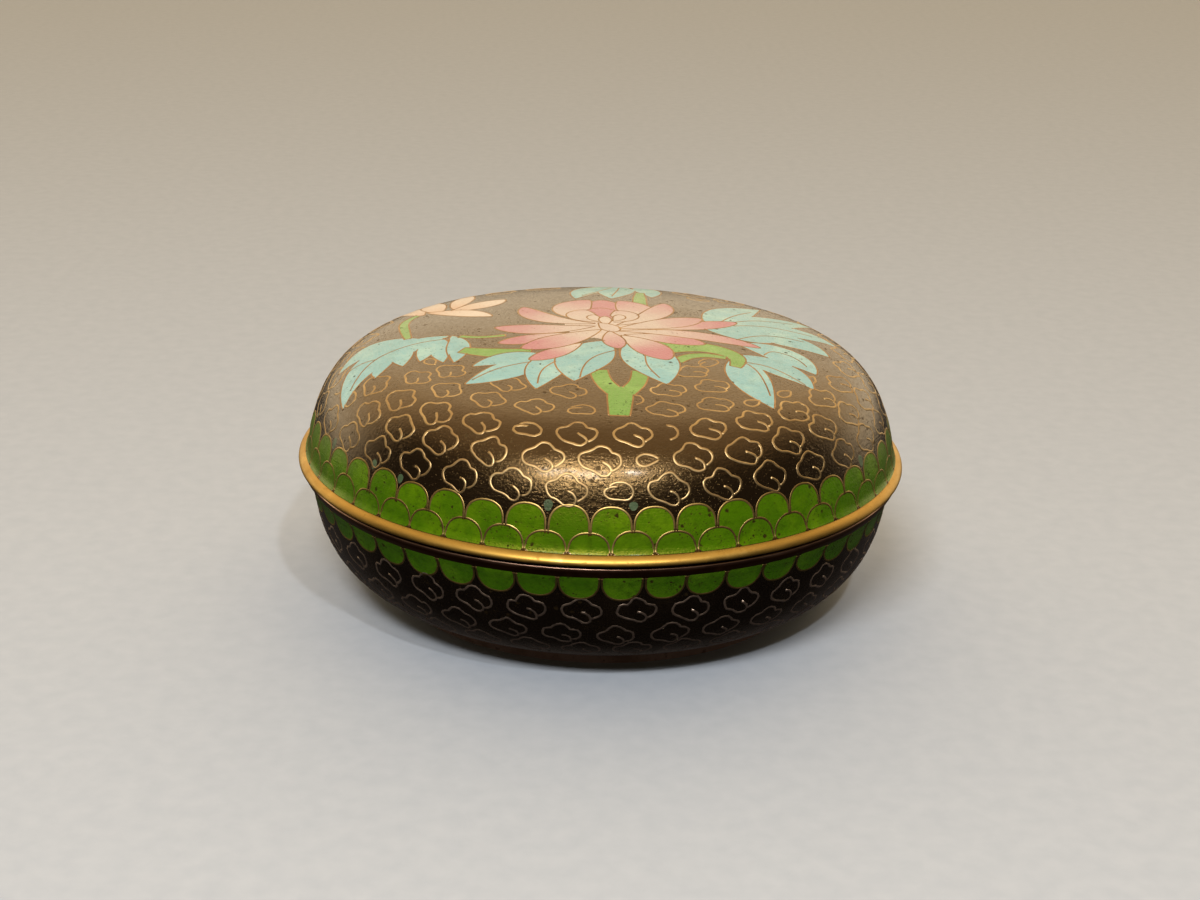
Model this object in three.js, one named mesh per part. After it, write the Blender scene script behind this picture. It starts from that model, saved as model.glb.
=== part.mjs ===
// A round box in cloisonné enamel on copper, with a lift-off lid.
//
// Five pieces, every one turned about the Z axis: the bowl, the foot ring under it, the metal
// band on its mouth, the lid, and the metal bead round the lid's edge. The lid stands on the
// band and is kept in place by the band's upright lip, with no hinge and no catch.
// Units are millimetres, +Z is up, and the origin is the centre of the foot on the table.
import * as THREE from "three";

// ---- driving dimensions ---------------------------------------------------------------
const SEGMENTS = 56; // facets round the axis
const GAP = 0.3; // clearance where one piece rests on another
const WALL = 2.0; // copper sheet with enamel on both faces

const BEAD_RADIUS = 60; // the lid's bead at its widest: half of the box's width
const BEAD_HALF_HEIGHT = 1.0;
const SEAM_Z = 28.1; // the middle of the bead above the table

const FOOT_RADIUS = 42;
const FOOT_WIDTH = 2.6;
const BASE_Z = 2.0; // underside of the bowl above the table

const BOWL_RADIUS = 57.3; // the wall, without the flare at its mouth
const BOWL_DEPTH = 27.4; // of the whole curve, which the flat base cuts short
const BOWL_CURVE = { side: 4.66, floor: 2.51 }; // exponents: large is square, 2 is round
const BOWL_TOP_Z = SEAM_Z - 3.6;
const FLARE = { out: 1.1, length: 1.6 }; // how the wall opens just under the band

const BAND_TOP_Z = SEAM_Z - 1.5;
const BAND_RADIUS = 59.2;
const LIP = { inner: 54.9, outer: 55.9, rise: 4.0 }; // upright lip that holds the lid

const LID_INNER_RADIUS = 56.5; // the bead's bore, which passes over the lip
// Stations of the lid's outer face, [radius, height above the seam], from its foot to its top.
const LID_STATIONS = [
  [58.85, 1.3], [58.0, 3.6], [56.75, 8.0], [55.1, 12.0], [52.3, 16.0], [50.0, 18.0],
  [46.3, 20.0], [41.0, 21.35], [32.0, 22.9], [20.0, 24.15], [0, 24.9],
];

// ---- finishes -------------------------------------------------------------------------
const blackEnamel = new THREE.MeshStandardMaterial({ color: 0x120f0e, roughness: 0.16, metalness: 0 });
const giltBrass = new THREE.MeshStandardMaterial({ color: 0xd9a046, roughness: 0.22, metalness: 1 });
const darkCopper = new THREE.MeshStandardMaterial({ color: 0x8a5a3c, roughness: 0.34, metalness: 1 });

// ---- outlines, as lists of [radius, z] ---------------------------------------------------
/** The outline moved inwards by `distance`, square to itself at every station. */
function inset(outline, distance) {
  return outline.map(([r, z], i) => {
    const [r0, z0] = outline[Math.max(i - 1, 0)];
    const [r1, z1] = outline[Math.min(i + 1, outline.length - 1)];
    const length = Math.hypot(r1 - r0, z1 - z0);
    const onAxis = r === 0;
    return onAxis
      ? [0, z + Math.sign(r1 - r0) * distance]
      : [r - (distance * (z1 - z0)) / length, z + (distance * (r1 - r0)) / length];
  });
}

/** The bowl's outer face: a superellipse cut flat at the base and flared at the mouth. */
function bowlFace(steps) {
  const curve = (t) => [
    BOWL_RADIUS * Math.cos(t) ** (2 / BOWL_CURVE.side),
    SEAM_Z - 1.5 - BOWL_DEPTH * Math.sin(t) ** (2 / BOWL_CURVE.floor),
  ];
  const angleAt = (z) => Math.asin(((SEAM_Z - 1.5 - z) / BOWL_DEPTH) ** (BOWL_CURVE.floor / 2));
  const from = angleAt(BASE_Z);
  const to = angleAt(BOWL_TOP_Z);
  const face = [[0, BASE_Z]];
  for (let i = 0; i <= steps; i++) {
    const [r, z] = curve(from + ((to - from) * i) / steps);
    face.push([r + FLARE.out * Math.exp((z - BOWL_TOP_Z) / FLARE.length), z]);
  }
  return face;
}

/** The bowl: its outer face, then back down inside it one wall thickness away. */
function bowlOutline() {
  const inner = inset(bowlFace(9), WALL);
  inner[inner.length - 1][1] = BOWL_TOP_Z;
  return [...bowlFace(14), ...inner.reverse()];
}

/** The lid: its inner face from the top down, then its outer face back up to the top. */
function lidOutline() {
  const stations = LID_STATIONS.map(([r, h]) => [r, SEAM_Z + h]);
  const curve = new THREE.SplineCurve(stations.map(([r, z]) => new THREE.Vector2(r, z)));
  const outer = curve.getPoints(2 * (stations.length - 1)).map((p) => [p.x, p.y]);
  const inner = inset(stations, WALL);
  inner[0][1] = stations[0][1];
  return [...inner.reverse(), ...outer];
}

/** The foot: a plain ring, a little narrower at the table, with its sharp edges broken. */
function footOutline() {
  const inner = FOOT_RADIUS - FOOT_WIDTH;
  const top = BASE_Z - GAP;
  return ring([[inner, 0], [FOOT_RADIUS - 0.5, 0], [FOOT_RADIUS - 0.2, 0.3], [FOOT_RADIUS, top], [inner, top]]);
}

/** The band on the bowl's mouth: a rounded outer edge, a flat seat, and the upright lip. */
function bandOutline() {
  const foot = BOWL_TOP_Z + GAP;
  const mouth = bowlFace(14).at(-1)[0];
  return ring([
    [LIP.inner, foot], [mouth - 0.1, foot], [BAND_RADIUS - 0.25, foot + 0.7],
    [BAND_RADIUS, BAND_TOP_Z - 0.4], [BAND_RADIUS - 0.2, BAND_TOP_Z], [LIP.outer, BAND_TOP_Z],
    [LIP.outer, BAND_TOP_Z + LIP.rise - 0.3], [LIP.outer - 0.3, BAND_TOP_Z + LIP.rise],
    [LIP.inner, BAND_TOP_Z + LIP.rise],
  ]);
}

/** The lid's edge: a half-round bead outside, flat where it seats and where the lid meets it. */
function beadOutline() {
  const seat = BAND_TOP_Z + GAP;
  const core = BEAD_RADIUS - BEAD_HALF_HEIGHT;
  const round = [-60, -30, 0, 30, 60, 90].map((degrees) => {
    const a = THREE.MathUtils.degToRad(degrees);
    return [core + BEAD_HALF_HEIGHT * Math.cos(a), SEAM_Z + BEAD_HALF_HEIGHT * Math.sin(a)];
  });
  return ring([[LID_INNER_RADIUS, seat], [core - 0.6, seat], ...round, [LID_INNER_RADIUS, SEAM_Z + BEAD_HALF_HEIGHT]]);
}

/** A section that closes on itself, clear of the axis. */
function ring(section) {
  return [...section, section[0]];
}

// ---- pieces ---------------------------------------------------------------------------
/** One named piece: its outline turned about the Z axis. */
function turned(name, outline, material) {
  const points = outline.map(([r, z]) => new THREE.Vector2(r, z));
  const geometry = new THREE.LatheGeometry(points, SEGMENTS);
  geometry.rotateX(Math.PI / 2);
  const mesh = new THREE.Mesh(geometry, material);
  mesh.name = name;
  return mesh;
}

const box = new THREE.Group();
box.add(
  turned("foot_ring", footOutline(), giltBrass),
  turned("bowl", bowlOutline(), blackEnamel),
  turned("bowl_rim", bandOutline(), darkCopper),
  turned("lid_rim", beadOutline(), giltBrass),
  turned("lid", lidOutline(), blackEnamel),
);

export default box;
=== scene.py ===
"""A round lidded box in cloisonne enamel on copper, finished round its CAD frame.

Plan coordinates, in millimetres, are used for everything that is drawn on the box. A plan point
(x, y) lies at the distance hypot(x, y) along the enamelled face from the box's axis, in the
direction (x, y), so a picture drawn flat wraps on to the lid with true lengths from its top.
"""
import math

import bpy
import numpy as np
from mathutils import Matrix, Vector
from mathutils.geometry import delaunay_2d_cdt


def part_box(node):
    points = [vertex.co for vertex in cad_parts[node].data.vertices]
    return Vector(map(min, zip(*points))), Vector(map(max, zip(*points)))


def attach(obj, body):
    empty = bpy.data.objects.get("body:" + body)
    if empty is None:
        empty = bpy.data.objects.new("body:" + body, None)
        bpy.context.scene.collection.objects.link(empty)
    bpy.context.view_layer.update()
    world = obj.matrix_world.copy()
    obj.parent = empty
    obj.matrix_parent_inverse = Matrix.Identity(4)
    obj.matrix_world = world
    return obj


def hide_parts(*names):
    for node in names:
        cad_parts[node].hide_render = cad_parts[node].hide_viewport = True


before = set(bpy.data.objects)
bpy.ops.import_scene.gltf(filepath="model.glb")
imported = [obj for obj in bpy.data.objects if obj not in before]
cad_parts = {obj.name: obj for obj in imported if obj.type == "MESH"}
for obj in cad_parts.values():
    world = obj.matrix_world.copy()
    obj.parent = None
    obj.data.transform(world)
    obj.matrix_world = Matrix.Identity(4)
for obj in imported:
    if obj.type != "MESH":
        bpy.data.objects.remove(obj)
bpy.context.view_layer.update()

MM = 0.001
dice = np.random.default_rng(7)


# ---- driving dimensions, in millimetres --------------------------------------------------
def extent(node):
    """Widest radius, lowest height and highest height of a CAD node."""
    low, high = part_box(node)
    return high.x / MM, low.z / MM, high.z / MM


BEAD_RADIUS, _, bead_top = extent("lid_rim")
BEAD_HALF = 1.0
SEAM = bead_top - BEAD_HALF  # height of the bead's middle above the table
LID_TOP = extent("lid")[2]
FOOT_RADIUS = extent("foot_ring")[0]
_, BASE, BOWL_TOP = extent("bowl")
BAND_RADIUS, _, LIP_TOP = extent("bowl_rim")
BAND_TOP = SEAM - 1.5
LIP_INNER, LIP_OUTER = 54.9, 55.9
LID_BORE = 56.5  # the bead's inside, which passes over the lip
WALL = 2.0
RIM_COUNT = 240  # facets round every turned piece
FACE_STEP, LINING_STEP = 1.35, 3.0  # between mesh points on a pictured face and on a plain one

WIRE = 0.36  # visible width of the flat wire
FINE_WIRE = 0.32  # and of the wire that draws the picture
PROUD = 0.035  # how far its crown stands above the glaze


# ---- turned faces ------------------------------------------------------------------------
def spline(knots, values, where):
    """Natural cubic spline: solves the usual three-term equations for the second derivatives
    at the knots, then blends the cubic of each span at every value of where."""
    h = np.diff(knots)
    n = len(knots)
    a = np.eye(n)
    inner = np.arange(1, n - 1)
    a[inner, inner - 1], a[inner, inner], a[inner, inner + 1] = h[:-1], 2 * (h[:-1] + h[1:]), h[1:]
    rise = np.diff(values, axis=0) / h[:, None]
    right = np.zeros_like(values)
    right[1:-1] = 6 * np.diff(rise, axis=0)
    m = np.linalg.solve(a, right)
    k = np.clip(np.searchsorted(knots, where) - 1, 0, n - 2)
    u, v, hk = (where - knots[k])[:, None], (knots[k + 1] - where)[:, None], h[k][:, None]
    return (
        (m[k] * v**3 + m[k + 1] * u**3) / (6 * hk)
        + (values[k] / hk - m[k] * hk / 6) * v
        + (values[k + 1] / hk - m[k + 1] * hk / 6) * u
    )


def smooth_path(stations, count, closed=False):
    """A spline through the stations, by chord length, at count even steps of that length.
    A closed path is run over three laps, and the middle one is kept."""
    p = np.asarray(stations, float)
    if closed:
        p = np.concatenate([p, p, p, p[:1]])
    chord = np.r_[0, np.cumsum(np.hypot(*np.diff(p, axis=0).T))]
    lap = chord[-1] / 3
    where = np.linspace(lap, 2 * lap, count, endpoint=False) if closed else np.linspace(0, chord[-1], count)
    return spline(chord, p, where)


class TurnedFace:
    """A face turned about the axis, from its outline [radius, height], which starts on the
    axis. At arc length s it has a radius, a height and a normal; side is +1 where the face
    looks to the left of the way out from the axis, as on a lid, and -1 on a bowl."""

    def __init__(self, outline, side):
        p = np.asarray(outline, float)
        self.s = np.r_[0, np.cumsum(np.hypot(*np.diff(p, axis=0).T))]
        self.r, self.z, self.side = p[:, 0], p[:, 1], side
        slope = np.gradient(p, self.s, axis=0)
        slope /= np.linalg.norm(slope, axis=1)[:, None]
        self.nr, self.nz = -slope[:, 1] * side, slope[:, 0] * side
        self.length = self.s[-1]

    def radius(self, s):
        return np.interp(s, self.s, self.r)

    def place(self, plan, lift=0.0):
        """Points and normals of plan points: the outline at s = |plan|, turned to the plan
        point's direction, and moved lift along the normal."""
        s = np.hypot(plan[:, 0], plan[:, 1])
        c, d = np.where(s > 1e-9, plan.T / np.maximum(s, 1e-9), [[1.0], [0.0]])
        r, z, nr, nz = (np.interp(s, self.s, v) for v in (self.r, self.z, self.nr, self.nz))
        normal = np.stack([nr * c, nr * d, nz], 1)
        normal /= np.linalg.norm(normal, axis=1)[:, None]
        return np.stack([r * c, r * d, z], 1) + normal * np.asarray(lift)[..., None], normal

    def plan(self, s, degrees, x=0.0, y=0.0):
        """Plan points of a flat drawing pinned at arc length s and a direction: y runs up the
        face and x round the box, both in true millimetres there."""
        turn = np.radians(degrees) + np.asarray(x) / self.radius(s)
        out = s - np.asarray(y) * self.side
        return np.stack([out * np.cos(turn), out * np.sin(turn)], -1)


def lid_outline():
    """The lid's outer face: a spline through its stations and their mirror images across the
    axis, so that the top is level, ending in the little cove that meets the bead."""
    stations = np.array([
        [20.0, 24.15], [32.0, 22.9], [41.0, 21.35], [46.3, 20.0], [50.0, 18.0], [52.3, 16.0],
        [55.1, 12.0], [56.75, 8.0], [57.6, 5.0], [57.9, 3.2], [58.08, 2.1], [58.27, 1.4], [58.62, 0.88],
    ])
    top = LID_TOP - SEAM
    both = np.concatenate([stations[::-1] * [-1, 1], [[0, top]], stations])
    path = smooth_path(both, 4001)
    half = path[2000:]
    half[0, 0] = 0
    return half + [0, SEAM]


def bowl_outline():
    """The bowl's outer face: flat under the foot, then a superellipse, radius R cos^(2/side)
    and depth D sin^(2/floor), flared by a short exponential at its mouth."""
    side, floor, radius, depth = 4.66, 2.51, 57.3, BAND_TOP + 0.8
    flare_out, flare_length = 1.1, 1.6

    def angle(z):
        return math.asin(((BAND_TOP - z) / depth) ** (floor / 2))

    t = np.linspace(angle(BASE), angle(BOWL_TOP), 1500)
    z = BAND_TOP - depth * np.sin(t) ** (2 / floor)
    r = radius * np.cos(t) ** (2 / side) + flare_out * np.exp((z - BOWL_TOP) / flare_length)
    z[-1] += 0.1
    flat = np.linspace(0, r[0], 60, endpoint=False)
    return np.concatenate([np.stack([flat, np.full(60, BASE)], 1), np.stack([r, z], 1)])


def inside(outline, side, thickness, foot):
    """The outline moved inwards by the wall's thickness, square to itself, and cut at foot."""
    face = TurnedFace(outline, side)
    p = np.stack([face.r - face.nr * thickness, face.z - face.nz * thickness], 1)
    p[0, 0] = 0
    keep = (np.diff(p[:, 0], prepend=-1) > -1e-6) & (face.s < face.length - foot)
    return p[keep]


lid_face = TurnedFace(lid_outline(), 1)
bowl_face = TurnedFace(bowl_outline(), -1)
FOOT_LINE = bowl_face.s[60]  # arc length from the axis to where the flat base ends


# ---- figures drawn in wire ----------------------------------------------------------------
class Cell:
    """A closed area of one glaze. sides are the runs of wire round it, ribs are wires that
    run inside it, and kin is the name of the leaf or stem it belongs to: cells of one kin
    run together, with no wire between them."""

    def __init__(self, glaze, outline, sides=(), ribs=(), kin=None, base=(0, 0), tip=(1, 0), blush=(0, 1)):
        self.glaze, self.outline, self.sides, self.ribs, self.kin = glaze, outline, sides, ribs, kin
        self.base, self.tip, self.blush = np.array(base, float), np.array(tip, float), blush
        self.low, self.high = outline.min(0), outline.max(0)
        self.tint = dice.random()

    def holds(self, points):
        """Which points lie inside: a line from the point to the right crosses the outline an
        odd number of times."""
        found = np.zeros(len(points), bool)
        near = np.all((points > self.low) & (points < self.high), axis=1)
        p = points[near]
        if len(p):
            a, b = self.outline, np.roll(self.outline, -1, axis=0)
            span = (a[:, 1] > p[:, 1:]) != (b[:, 1] > p[:, 1:])
            rise = np.where(np.abs(b[:, 1] - a[:, 1]) < 1e-12, 1e-12, b[:, 1] - a[:, 1])
            cross = a[:, 0] + (p[:, 1:] - a[:, 1]) * (b[:, 0] - a[:, 0]) / rise
            found[near] = (span & (p[:, :1] < cross)).sum(1) % 2 == 1
        return found


def blade(glaze, base, tip, width, bend=0.0, fat=1.3, point=0.7, kin=None, blush=(0, 1), steps=22):
    """A petal or a leaf's lobe: a spine bowed like a parabola from base to tip, with the half
    width width/2 * sin(pi * t**fat)**point at the share t of its length."""
    t = (1 - np.cos(np.linspace(0, np.pi, steps))) / 2
    base, tip = np.array(base, float), np.array(tip, float)
    along = tip - base
    across = np.array([-along[1], along[0]])
    spine = base + t[:, None] * along + (4 * bend * t * (1 - t))[:, None] * across
    way = along + (4 * bend * (1 - 2 * t))[:, None] * across
    square = np.stack([-way[:, 1], way[:, 0]], 1) / np.linalg.norm(way, axis=1)[:, None]
    half = (width / 2 * np.sin(np.pi * t**fat).clip(0) ** point)[:, None]
    left, right = spine + half * square, spine - half * square
    return Cell(glaze, np.concatenate([left, right[::-1][1:-1]]), [left, right], (), kin, base, tip, blush)


def band(glaze, stations, widths, kin=None, steps=26):
    """A stem: a spline through its stations, with a width that varies evenly along it."""
    spine = smooth_path(stations, steps)
    way = np.gradient(spine, axis=0)
    square = np.stack([-way[:, 1], way[:, 0]], 1) / np.linalg.norm(way, axis=1)[:, None]
    half = np.interp(np.linspace(0, 1, steps), np.linspace(0, 1, len(widths)), widths)[:, None] / 2
    left, right = spine + half * square, spine - half * square
    ends = [np.stack([left[0], right[0]]), np.stack([left[-1], right[-1]])]
    return Cell(glaze, np.concatenate([left, right[::-1]]), [left, right, *ends], (), kin)


SCALES = 48  # in every row of them
SCALE_GAP = 0.22  # from a scale's leg to the middle of the space between two
SCALE_CURVE = 2.3  # exponent of a scale's crown
SPILLS = 15


def scale_cells(face, phase, crown, foot, glaze):
    """A row of arched scales standing side by side round the box with a little unevenness.
    Each has straight legs from the arc length foot and a crown of half a superellipse,
    |x/w|**n + |y/w|**n = 1 with n the SCALE_CURVE, that reaches the arc length crown."""
    cells = []
    pitch = 2 * np.pi / SCALES
    a = np.linspace(0, np.pi, 17)
    half = face.radius(foot) * pitch / 2 - SCALE_GAP
    legs = max(0.1, abs(crown - foot) - half)
    for k in range(SCALES):
        nudge, tall = dice.normal(0, 0.012), dice.normal(0, 0.2)
        x = half * np.sign(np.cos(a)) * np.abs(np.cos(a)) ** (2 / SCALE_CURVE)
        y = legs + (abs(crown - foot) - legs + tall) * np.sin(a).clip(0) ** (2 / SCALE_CURVE)
        arch = face.plan(foot, np.degrees(k * pitch + nudge * pitch) + phase, np.r_[half, x, -half],
                         np.r_[0, y, 0] * face.side)
        cells.append(Cell(glaze, arch, [arch]))
    return cells


CLOUD = [  # the cloud wire, in millimetres, from its inner tip round the hook and the lobes
    (0.1, -0.3), (1.1, -0.8), (1.8, -1.8), (1.5, -2.7), (0.6, -3.0), (-0.4, -2.6), (-1.5, -2.0),
    (-2.7, -1.6), (-3.6, -0.7), (-3.7, 0.4), (-3.0, 1.2), (-2.0, 1.4), (-1.4, 2.1), (-0.6, 2.7),
    (0.4, 2.75), (1.3, 2.2), (1.9, 1.4), (2.9, 1.2), (3.6, 0.4), (3.6, -0.6), (2.9, -1.5), (1.9, -2.0),
]
LOOP = [(0.1, 0.6), (-1.6, 0.5), (-2.6, -0.4), (-1.8, -1.5), (0.0, -1.6), (1.9, -1.5), (2.7, -0.4),
        (2.0, 0.9), (0.2, 1.6), (-1.3, 1.2), (-1.9, 0.6)]
DROP = [(2.0, 0.1), (0.6, 1.0), (-1.1, 1.1), (-2.0, 0.0), (-1.1, -1.1), (0.5, -0.9), (2.0, 0.1)]
HOOK = [(-0.9, 1.7), (0.5, 1.4), (1.2, 0.2), (0.8, -1.1), (-0.7, -1.8)]
MOTIFS = {"cloud": (CLOUD, 30), "loop": (LOOP, 18), "drop": (DROP, 14), "hook": (HOOK, 8)}


def motif(face, kind, s, degrees, size=1.0):
    """The plan path of one ground figure, unevenly bent by hand: its stations are jittered,
    turned and stretched a little before the spline goes through them."""
    stations, steps = MOTIFS[kind]
    p = np.array(stations) * [size * dice.normal(0.98, 0.03), size * dice.normal(0.98, 0.03)]
    p = p + dice.normal(0, 0.09, p.shape)
    if kind == "drop":
        p[-1] = p[0]
    a = dice.normal(0, 0.06)
    p = p @ np.array([[math.cos(a), math.sin(a)], [-math.sin(a), math.cos(a)]])
    path = smooth_path(p, steps)
    return face.plan(s, degrees, path[:, 0], path[:, 1])


# ---- the lid's picture and ground ---------------------------------------------------------------
def leaf(kin, lobes, veins=()):
    """Several lobes of turquoise that run together into one leaf, with veins of wire on top."""
    cells = [blade("turquoise", *lobe[:3], bend=lobe[3], fat=0.92, point=0.85, kin=kin) for lobe in lobes]
    cells[-1].ribs = [smooth_path(vein, 24) for vein in veins]
    return cells


def lid_picture():
    """The bouquet, from the lowest cell to the topmost: leaves and stems, then petals."""
    cells = []
    cells += leaf("leaf_left", (
        ((-30, -3.6), (-50.6, -24.6), 9.6, -0.15), ((-35, -4), (-52.5, -9.5), 7.6, -0.12),
        ((-29.6, -3.6), (-28, -19.3), 4.6, 0.07), ((-31.6, -4.2), (-30, -18.6), 4.4, -0.03),
        ((-33.6, -5), (-34.7, -16.7), 4.0, 0.02), ((-38.4, -5), (-37.8, -17.9), 4.8, -0.05),
        ((-40.6, -7), (-43, -20.8), 4.8, -0.03),
    ), (
        ((-30.5, -5.4), (-36.5, -6), (-42, -9.5), (-46, -15), (-48.6, -20.5)),
        ((-44, -11.5), (-47, -11.4), (-50.5, -12.2)), ((-29.8, -6), (-30, -12), (-28.8, -17.6)),
    ))
    cells += leaf("leaf_right", (
        ((20, 2), (39, 6), 15.0, 0.0), ((26.5, -12), (31.5, -34.6), 8.4, -0.07),
        ((25, -13), (39.8, -23.5), 7.4, 0.12), ((26, -6), (40.8, -16.2), 8.8, 0.16),
        ((26, 1), (44.6, -4), 9.0, 0.18), ((25, 7), (47.5, 6), 8.5, 0.12),
        ((24, 6), (43.5, 19), 9.0, 0.06), ((22, 3), (33, 27.5), 9.0, 0.08),
    ), (
        ((24.6, -14), (28, -17.5), (30, -23), (31, -30)),
        ((26.6, -16), (31, -16.4), (35.2, -19.2), (38.2, -22.4)),
        ((31, -10.6), (33, -7.6), (36.6, -8.6), (39.2, -12.8)), ((26, -3.4), (30, 0.8), (35, 3.2), (40, 3)),
        ((26, 6.4), (33, 9.6), (42, 9)), ((25, 8), (31, 13.6), (39, 17)), ((23, 7), (26, 14), (30.6, 22)),
    ))
    cells += leaf("leaf_back", (
        ((2, 46), (-5.9, 22.8), 6.4, -0.06), ((2.4, 47), (1.4, 23.4), 8.4, 0.02),
        ((7, 47), (10, 27), 5.8, 0.04),
    ), (((1.6, 43), (-1, 34), (-4.6, 26.5)), ((3.2, 42), (2.6, 34), (1.6, 26.5))))
    for kin, stations, widths in (
        (None, [(-28, -4.5), (-24, -6), (-19, -5.6)], (1.5, 1.2, 1.2)),
        (None, [(-27, -12.8), (-21, -15.4), (-13.5, -16)], (2.8, 4.6, 3.6)),
        (None, [(-38.4, -2), (-40, 6), (-40.2, 12), (-38, 17)], (1.5, 2.0, 2.0, 1.4)),
        (None, [(7.4, 17), (7.4, 24), (7.6, 33)], (3.0, 2.8, 1.8)),
        ("stem_right", [(14, -19), (16.4, -16), (20, -14.6), (23.5, -15)], (2.4, 2.4, 2.2, 1.6)),
        ("stem_right", [(10.5, -12.6), (16, -10.6), (22, -11), (25.4, -14.2), (25, -19)],
         (6.6, 5.6, 4.8, 3.8, 2.2)),
        ("stalk", [(-0.7, -25), (0.4, -30.5), (2.6, -34.5)], (3.4, 3.4, 3.6)),
        ("stalk", [(7.0, -25), (6.3, -30.5), (4.4, -34.5)], (3.2, 3.2, 3.4)),
        ("stalk", [(3.4, -32), (3.3, -37), (3.2, -43)], (5.0, 4.6, 3.8)),
    ):
        cells.append(band("stem", stations, widths, kin))
    cells += leaf("leaf_low_left", (
        ((-11, -17.5), (-24.4, -21.9), 5.6, -0.07), ((-9, -18), (-25.3, -29.6), 7.8, 0.02),
    ), (((-13.4, -21), (-19, -23.4), (-24, -28)),))
    cells += leaf("leaf_small", (((-6.6, -14.5), (-12, -33.2), 8.0, -0.05),),
                  (((-8.4, -20.4), (-10.8, -24.2), (-11.8, -31)),))
    cells += leaf("leaf_middle", (
        ((1.4, -9.5), (-5.1, -30.2), 10.8, -0.08), ((5, -9), (11.9, -30.2), 10.6, 0.03),
    ), (((3.1, -14.4), (-1, -17.8), (-3.4, -23), (-4.1, -28.6)), ((8, -16.6), (8.4, -22), (10.6, -27.6)),
        ((3.1, -12), (3.2, -17.6))))
    # the cream flower at the left of the lid's back
    for base, tip, width, bend in (
        ((-37, 16), (-41.5, 28), 5.0, 0.05), ((-33.5, 16), (-36.5, 31), 5.4, 0.04),
        ((-31, 18), (-28.9, 36), 4.6, 0.0), ((-31.5, 16.4), (-20.7, 24.6), 6.6, -0.06),
        ((-36.5, 18), (-22.4, 8.6), 5.0, 0.03),
    ):
        cells.append(blade("cream", base, tip, width, bend, fat=1.1, blush=(1, 0)))
    # the chrysanthemum: a ground for its heart, back petals, then the sides, front and heart
    round_heart = 8.2 * np.stack([np.cos(np.linspace(0, 6, 20)), np.sin(np.linspace(0, 6, 20))], 1)
    cells.append(Cell("petal", round_heart + [0.5, -0.5], blush=(0, 0)))
    petals = (
        ((0, 3), (-0.4, 21.6), 8.0, 0.0, (0.9, 1.2)), ((-2.2, 3), (-3.0, 21.4), 7.8, 0.22, (0, 0.9)),
        ((3.0, 3), (3.0, 21.2), 7.6, -0.19, (0, 0.9)), ((2.6, 0.6), (12.4, 20.8), 5.6, -0.12, (0, 0.9)),
        ((8, -1), (26.8, 9.4), 5.2, -0.05, (0, 1.3)), ((3, -1.5), (19.6, 9.4), 6.4, -0.05, (0, 0.9)),
        ((-1.6, 1.4), (-16.4, 15.2), 5.4, 0.19, (0, 1.0)), ((-6, -5), (-20.2, -10.2), 5.0, 0.03, (0, 1.4)),
        ((-1.6, -0.4), (-21.4, 0.0), 6.0, 0.11, (0, 1.15)), ((-4, -11), (-13.8, -20.0), 4.6, 0.05, (0, 1.4)),
        ((-0.4, -2.6), (-15.6, -13.8), 6.8, 0.05, (0, 1.15)), ((4, -5.6), (19.8, -8.2), 5.4, 0.02, (0, 1.3)),
        ((3, -3.4), (30.6, -6.6), 4.8, 0.07, (0, 1.0)), ((3.4, -6), (12.3, -18.6), 7.0, 0.05, (0, 1.4)),
        ((1.2, -3.4), (3.1, -13.8), 4.4, -0.02, (0.3, 1.0)),
        ((-0.2, 3.4), (-0.8, 14.0), 7.0, 0.0, (0.9, 1.2)),
        ((-1.0, 2.6), (-3.6, 12.0), 6.0, 0.22, (0.1, 0.45)),
        ((2.0, 2.6), (2.4, 11.8), 5.8, -0.22, (0.1, 0.45)),
        ((-0.9, 3.0), (-1.9, 8.0), 2.6, 0.12, (0.1, 0.3)),
        ((1.8, 3.4), (3.0, 8.6), 2.6, -0.12, (0.1, 0.3)),
        ((0.5, 0.4), (0.2, 7.0), 2.6, 0.0, (0, 0.2)), ((-1.0, 2.0), (2.4, -4.0), 3.8, 0.05, (0, 0.1)),
    )
    cells += [blade("petal", base, tip, width, bend, fat=1.35, point=0.62, blush=blush)
              for base, tip, width, bend, blush in petals]
    return cells


def spill_cells(face, phase, s):
    """Small spots of green glaze that ran over the wire between two scales, round blots."""
    cells = []
    a = np.linspace(0, 2 * np.pi, 12, endpoint=False)
    for k in dice.choice(SCALES, SPILLS, replace=False):
        wide, tall = dice.uniform(0.6, 0.95), dice.uniform(0.8, 1.2)
        cells.append(Cell("spill", face.plan(s + dice.uniform(-1.3, -0.2), k * 360 / SCALES + phase,
                                             wide * np.cos(a) * (1 + 0.15 * np.sin(3 * a)),
                                             tall * np.sin(a))))
    return cells


lid_scales = (
    spill_cells(lid_face, -99.0, 62.9)
    + scale_cells(lid_face, -95.3, 62.2, 70.3, "green")
    + scale_cells(lid_face, -99.05, 66.5, lid_face.length, "green")
)
lid_figures = lid_picture()
# the bowl's scales take a darker copy of the lid's green enamel: painted shade
bowl_scales = scale_cells(bowl_face, -93.2, bowl_face.length - 4.9, bowl_face.length - 0.2, "painted shade green")


def row(face, s, start, odd, size=1.0, pitch=1.0):
    """One row of ground figures at arc length s, laid one after another round the box from
    the azimuth start. odd names the figures that are not clouds, by their place in the row,
    from its end where negative, and each takes the room that its own width needs."""
    width = {"cloud": 9.9, "loop": 8.2, "drop": 6.4, "hook": 4.2}
    saved = sum(width["cloud"] - width[kind] for kind in odd.values())
    count = round((2 * math.pi * face.radius(s) / pitch + saved) / width["cloud"])
    kinds = [odd.get(k, odd.get(k - count, "cloud")) for k in range(count)]
    each = 360 / sum(width[kind] for kind in kinds)
    at, paths = start, []
    for k, kind in enumerate(kinds):
        half = width[kind] * each / 2
        at += half if k else 0
        paths.append(motif(face, kind, s + dice.normal(0, 0.12), at, size))
        at += half
    return paths


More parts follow.
